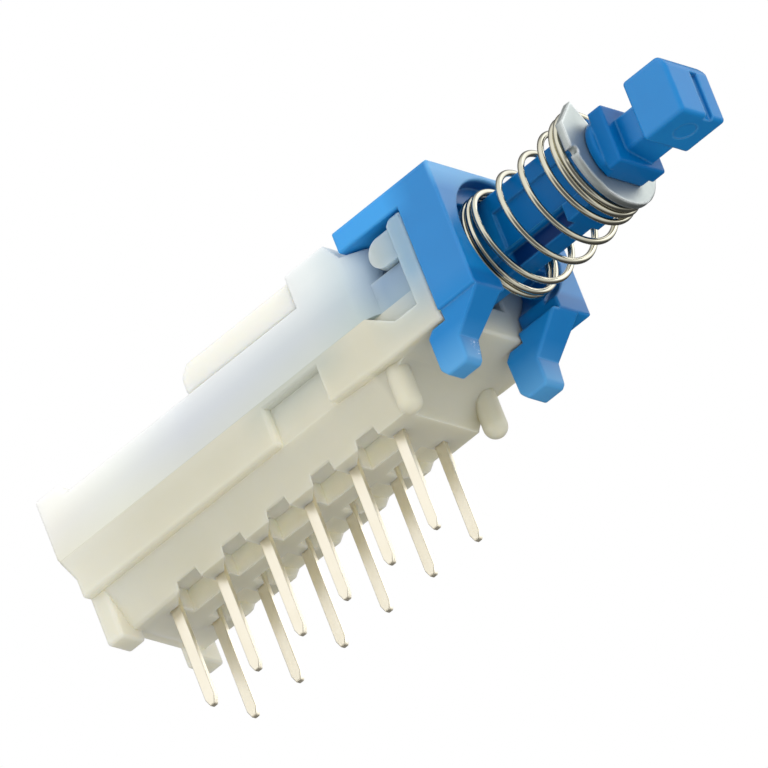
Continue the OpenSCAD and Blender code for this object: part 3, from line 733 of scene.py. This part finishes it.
def soft_head():
    """The plunger's head as a softly rounded block, with its round corner, chamfer, slot and mark."""
    low, high = HEAD_LOW, HEAD_HIGH
    block = box_between(low, high)
    bpy.ops.object.mode_set(mode="EDIT")
    mesh = bmesh.from_edit_mesh(block.data)
    for edge in mesh.edges:
        middle = (edge.verts[0].co + edge.verts[1].co) / 2 / MM
        edge.select_set(abs(middle.x - high[0]) < CORNER_NEAR and abs(middle.y - high[1]) < CORNER_NEAR)
    bmesh.update_edit_mesh(block.data)
    bpy.ops.mesh.bevel(offset=HEAD_CORNER * MM, segments=CORNER_STEPS, affect="EDGES")
    bpy.ops.mesh.select_all(action="SELECT")
    bpy.ops.mesh.bisect(plane_co=(high[0] * MM, 0, (high[2] - HEAD_CHAMFER[1]) * MM),
                        plane_no=Vector((HEAD_CHAMFER[1], 0, HEAD_CHAMFER[0])).normalized(),
                        use_fill=True, clear_outer=True, threshold=CUT_EXACT)
    bpy.ops.object.mode_set(mode="OBJECT")
    bevel(block, HEAD_ROUNDING, "ANGLE")
    cut_away(block, box_between((high[0] - SLOT_DEEP, SLOT_SIDES[0], low[2] - CUT_OVERRUN),
                                (high[0] + CUT_OVERRUN, SLOT_SIDES[1], SLOT_TOP)))
    bpy.ops.mesh.primitive_cylinder_add(vertices=MARK_SIDES, radius=MARK_R * MM, depth=2 * MARK_DEEP * MM)
    mark = bpy.context.object
    bpy.ops.object.mode_set(mode="EDIT")
    bpy.ops.transform.translate(value=((low[0] + high[0]) / 2 * MM, (low[1] + high[1]) / 2 * MM, low[2] * MM))
    bpy.ops.object.mode_set(mode="OBJECT")
    cut_away(block, mark)
    return block


def whole_plunger():
    """The plunger up to its neck from the frame, joined with the rounded head."""
    node = "plunger"
    piece = joined_copy(node)
    bpy.ops.object.mode_set(mode="EDIT")
    bpy.ops.mesh.select_all(action="SELECT")
    bpy.ops.mesh.bisect(plane_co=((HEAD_LOW[0] - TINY) * MM, 0, 0), plane_no=(1, 0, 0), use_fill=True,
                        clear_outer=True, threshold=CUT_EXACT)
    bpy.ops.transform.translate(value=(NECK_IN * MM, 0, 0))
    bpy.ops.object.mode_set(mode="OBJECT")
    round_edges(piece, PLUNGER_ROUNDING, plunger_share)
    head = soft_head()
    activate(piece)
    head.select_set(True)
    bpy.ops.object.join()
    settle(piece, node)


whole_plunger()

# The wire's eight sides shrink when they are smoothed, so it is fattened by that many millimetres first
WIRE_SHRINK = 0.014
WIRE_LEVELS = 2
QUAD_FACE_DEGREES = 60
QUAD_SHAPE_DEGREES = 120


def coil_spring():
    """The return spring with a round wire."""
    node = "return_spring"
    piece = joined_copy(node)
    bpy.ops.object.mode_set(mode="EDIT")
    bpy.ops.mesh.select_all(action="SELECT")
    bpy.ops.mesh.tris_convert_to_quads(face_threshold=math.radians(QUAD_FACE_DEGREES),
                                       shape_threshold=math.radians(QUAD_SHAPE_DEGREES))
    bpy.ops.transform.shrink_fatten(value=WIRE_SHRINK * MM)
    bpy.ops.object.mode_set(mode="OBJECT")
    smooth = piece.modifiers.new("round_wire", "SUBSURF")
    smooth.levels = WIRE_LEVELS
    smooth.render_levels = WIRE_LEVELS
    bpy.ops.object.modifier_apply(modifier=smooth.name)
    settle(piece, node)
    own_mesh(piece)


coil_spring()


def camera():
    """A long lens at the picture's viewing angle; returns the picture's right, its up and the lens's side."""
    azimuth = math.radians(VIEW_AZIMUTH)
    elevation = math.radians(VIEW_ELEVATION)
    roll = math.radians(VIEW_ROLL)
    toward = Vector((math.sin(azimuth) * math.cos(elevation), -math.cos(azimuth) * math.cos(elevation),
                     math.sin(elevation)))
    level = Vector((math.cos(azimuth), math.sin(azimuth), 0))
    upright = toward.cross(level)
    right = math.cos(roll) * level + math.sin(roll) * upright
    up = toward.cross(right)
    away = LENS / SENSOR * PICTURE_WIDTH
    place = right * AIM_RIGHT + up * AIM_UP + toward * (AIM_DEPTH + away)
    bpy.ops.object.camera_add()
    made = bpy.context.object
    made.matrix_world = Matrix.Translation(place * MM) @ Matrix((right, up, toward)).transposed().to_4x4()
    made.data.lens = LENS
    made.data.sensor_width = SENSOR
    made.data.clip_start = CLIP_NEAR
    made.data.clip_end = CLIP_FAR
    scene.camera = made
    return right, up, toward


def pale_floor():
    """A pale floor under the part, which is clear from below and neither lights nor shades the part."""
    bpy.ops.mesh.primitive_plane_add(size=FLOOR_SIZE * MM, location=(0, 0, cad_box[0].z - FLOOR_GAP * MM))
    floor = bpy.context.object
    floor.name = "floor"
    floor.visible_diffuse = False
    floor.visible_glossy = False
    floor.visible_shadow = False
    made, tree = new_material("pale_floor")
    side = add(tree, "NewGeometry")
    pale = add(tree, "BsdfDiffuse", {"Color": linear("#E8E8E4")})
    clear = add(tree, "BsdfTransparent")
    both = add(tree, "MixShader", {0: side.outputs["Backfacing"], 1: pale.outputs[0], 2: clear.outputs[0]})
    add(tree, "OutputMaterial", {"Surface": both.outputs[0]})
    floor.data.materials.append(made)


def toward_side(tree, place, side, edge, outside, inside):
    """A tone of the tent that goes from outside to inside round one direction, by the cosine from it."""
    near = add(tree, "VectorMath", {0: place, 1: side.normalized()}, operation="DOT_PRODUCT")
    tone = add(tree, "MapRange", {0: near.outputs["Value"], 1: edge[0], 2: edge[1], 3: outside, 4: inside})
    return tone.outputs[0]


def light_tent(right, up, toward):
    """White paper behind the part, in a tent that is brightest above the lens and dark below the part."""
    tent = bpy.data.worlds.new("light_tent")
    scene.world = tent
    tent.use_nodes = True
    tree = tent.node_tree
    tree.nodes.clear()
    place = add(tree, "TexCoord").outputs["Generated"]
    brightest = up - right * TENT_LEAN + toward * TENT_FRONT
    height = toward_side(tree, place, brightest, (-1.0, 1.0), 0.0, 1.0)
    tone = add(tree, "ValToRGB", {0: height}, stops=[
        (at, (level, level, level, 1)) for at, level in TENT_TONES])
    uncarded = toward_side(tree, place, -toward - up * CARD_DROP, CARD_EDGE, 1.0, CARD_TONE)
    unlensed = toward_side(tree, place, toward, LENS_EDGE, 1.0, LENS_TONE)
    dimmed = add(tree, "Math", {0: uncarded, 1: unlensed}, operation="MULTIPLY")
    # The lamp stands where the faces at the front mirror it to the lens
    mirrored = toward.reflect(Vector((1, 0, 0))) * -1
    lamp = toward_side(tree, place, mirrored, LAMP_EDGE, 0.0, LAMP_TONE)
    gloss = add(tree, "Math", {0: tone.outputs[0], 1: dimmed.outputs[0], 2: lamp}, operation="MULTIPLY_ADD")
    seen = add(tree, "LightPath")
    light = add(tree, "Background", {"Color": tone.outputs[0], "Strength": 1.0})
    reflected = add(tree, "Background", {"Color": gloss.outputs[0], "Strength": 1.0})
    paper = add(tree, "Background", {"Color": (1, 1, 1, 1), "Strength": 1.0})
    lit = add(tree, "MixShader", {0: seen.outputs["Is Glossy Ray"], 1: light.outputs[0],
                                  2: reflected.outputs[0]})
    both = add(tree, "MixShader", {0: seen.outputs["Is Camera Ray"], 1: lit.outputs[0], 2: paper.outputs[0]})
    add(tree, "OutputWorld", {"Surface": both.outputs[0]})
    tent.cycles.sampling_method = "NONE"
    scene.view_settings.view_transform = "Standard"


picture_right, picture_up, picture_toward = camera()
pale_floor()
light_tent(picture_right, picture_up, picture_toward)
